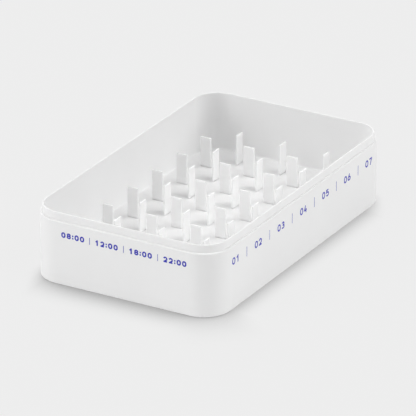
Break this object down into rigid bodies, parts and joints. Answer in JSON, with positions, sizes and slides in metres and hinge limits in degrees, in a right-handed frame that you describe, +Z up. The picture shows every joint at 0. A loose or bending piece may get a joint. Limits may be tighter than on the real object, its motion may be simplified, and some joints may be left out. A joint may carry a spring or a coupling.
{
  "type": "medication organiser tray",
  "caption": "Open rectangular tray with round corners and a lift-out liner, whose floor is parted by upright blades into cells for small medicine cups, one for each dose of each day.",
  "frame": {"origin": "bottom centre of the whole object, on the surface that it stands on", "axes": "+X across the doses, +Y along the days, away from the front face, +Z up"},
  "size_m": [0.13, 0.216, 0.047],
  "materials": {
    "shell_plastic": "smooth satin white moulded plastic",
    "tray_plastic": "smooth satin white moulded plastic",
    "divider_plastic": "smooth satin white moulded plastic",
    "foot_rubber": "matte light grey silicone rubber"
  },
  "bodies": {
    "shell": {"outer_shell": "shell_plastic", "foot_front_left": "foot_rubber", "foot_front_right": "foot_rubber", "foot_back_left": "foot_rubber", "foot_back_right": "foot_rubber"},
    "tray": {"inner_tray": "tray_plastic", "day_divider_1_1": "divider_plastic", "day_divider_1_2": "divider_plastic", "day_divider_1_3": "divider_plastic", "day_divider_1_4": "divider_plastic", "day_divider_2_1": "divider_plastic", "day_divider_2_2": "divider_plastic", "day_divider_2_3": "divider_plastic", "day_divider_2_4": "divider_plastic", "day_divider_3_1": "divider_plastic", "day_divider_3_2": "divider_plastic", "day_divider_3_3": "divider_plastic", "day_divider_3_4": "divider_plastic", "day_divider_4_1": "divider_plastic", "day_divider_4_2": "divider_plastic", "day_divider_4_3": "divider_plastic", "day_divider_4_4": "divider_plastic", "day_divider_5_1": "divider_plastic", "day_divider_5_2": "divider_plastic", "day_divider_5_3": "divider_plastic", "day_divider_5_4": "divider_plastic", "day_divider_6_1": "divider_plastic", "day_divider_6_2": "divider_plastic", "day_divider_6_3": "divider_plastic", "day_divider_6_4": "divider_plastic", "dose_divider_1_1": "divider_plastic", "dose_divider_1_2": "divider_plastic", "dose_divider_1_3": "divider_plastic", "dose_divider_2_1": "divider_plastic", "dose_divider_2_2": "divider_plastic", "dose_divider_2_3": "divider_plastic", "dose_divider_3_1": "divider_plastic", "dose_divider_3_2": "divider_plastic", "dose_divider_3_3": "divider_plastic", "dose_divider_4_1": "divider_plastic", "dose_divider_4_2": "divider_plastic", "dose_divider_4_3": "divider_plastic", "dose_divider_5_1": "divider_plastic", "dose_divider_5_2": "divider_plastic", "dose_divider_5_3": "divider_plastic", "dose_divider_6_1": "divider_plastic", "dose_divider_6_2": "divider_plastic", "dose_divider_6_3": "divider_plastic", "dose_divider_7_1": "divider_plastic", "dose_divider_7_2": "divider_plastic", "dose_divider_7_3": "divider_plastic"}
  },
  "joints": [
    {"name": "tray_lift", "type": "slide", "parent": "shell", "child": "tray", "axis": [0, 0, 1], "range_m": [0, 0.0456]}
  ]
}
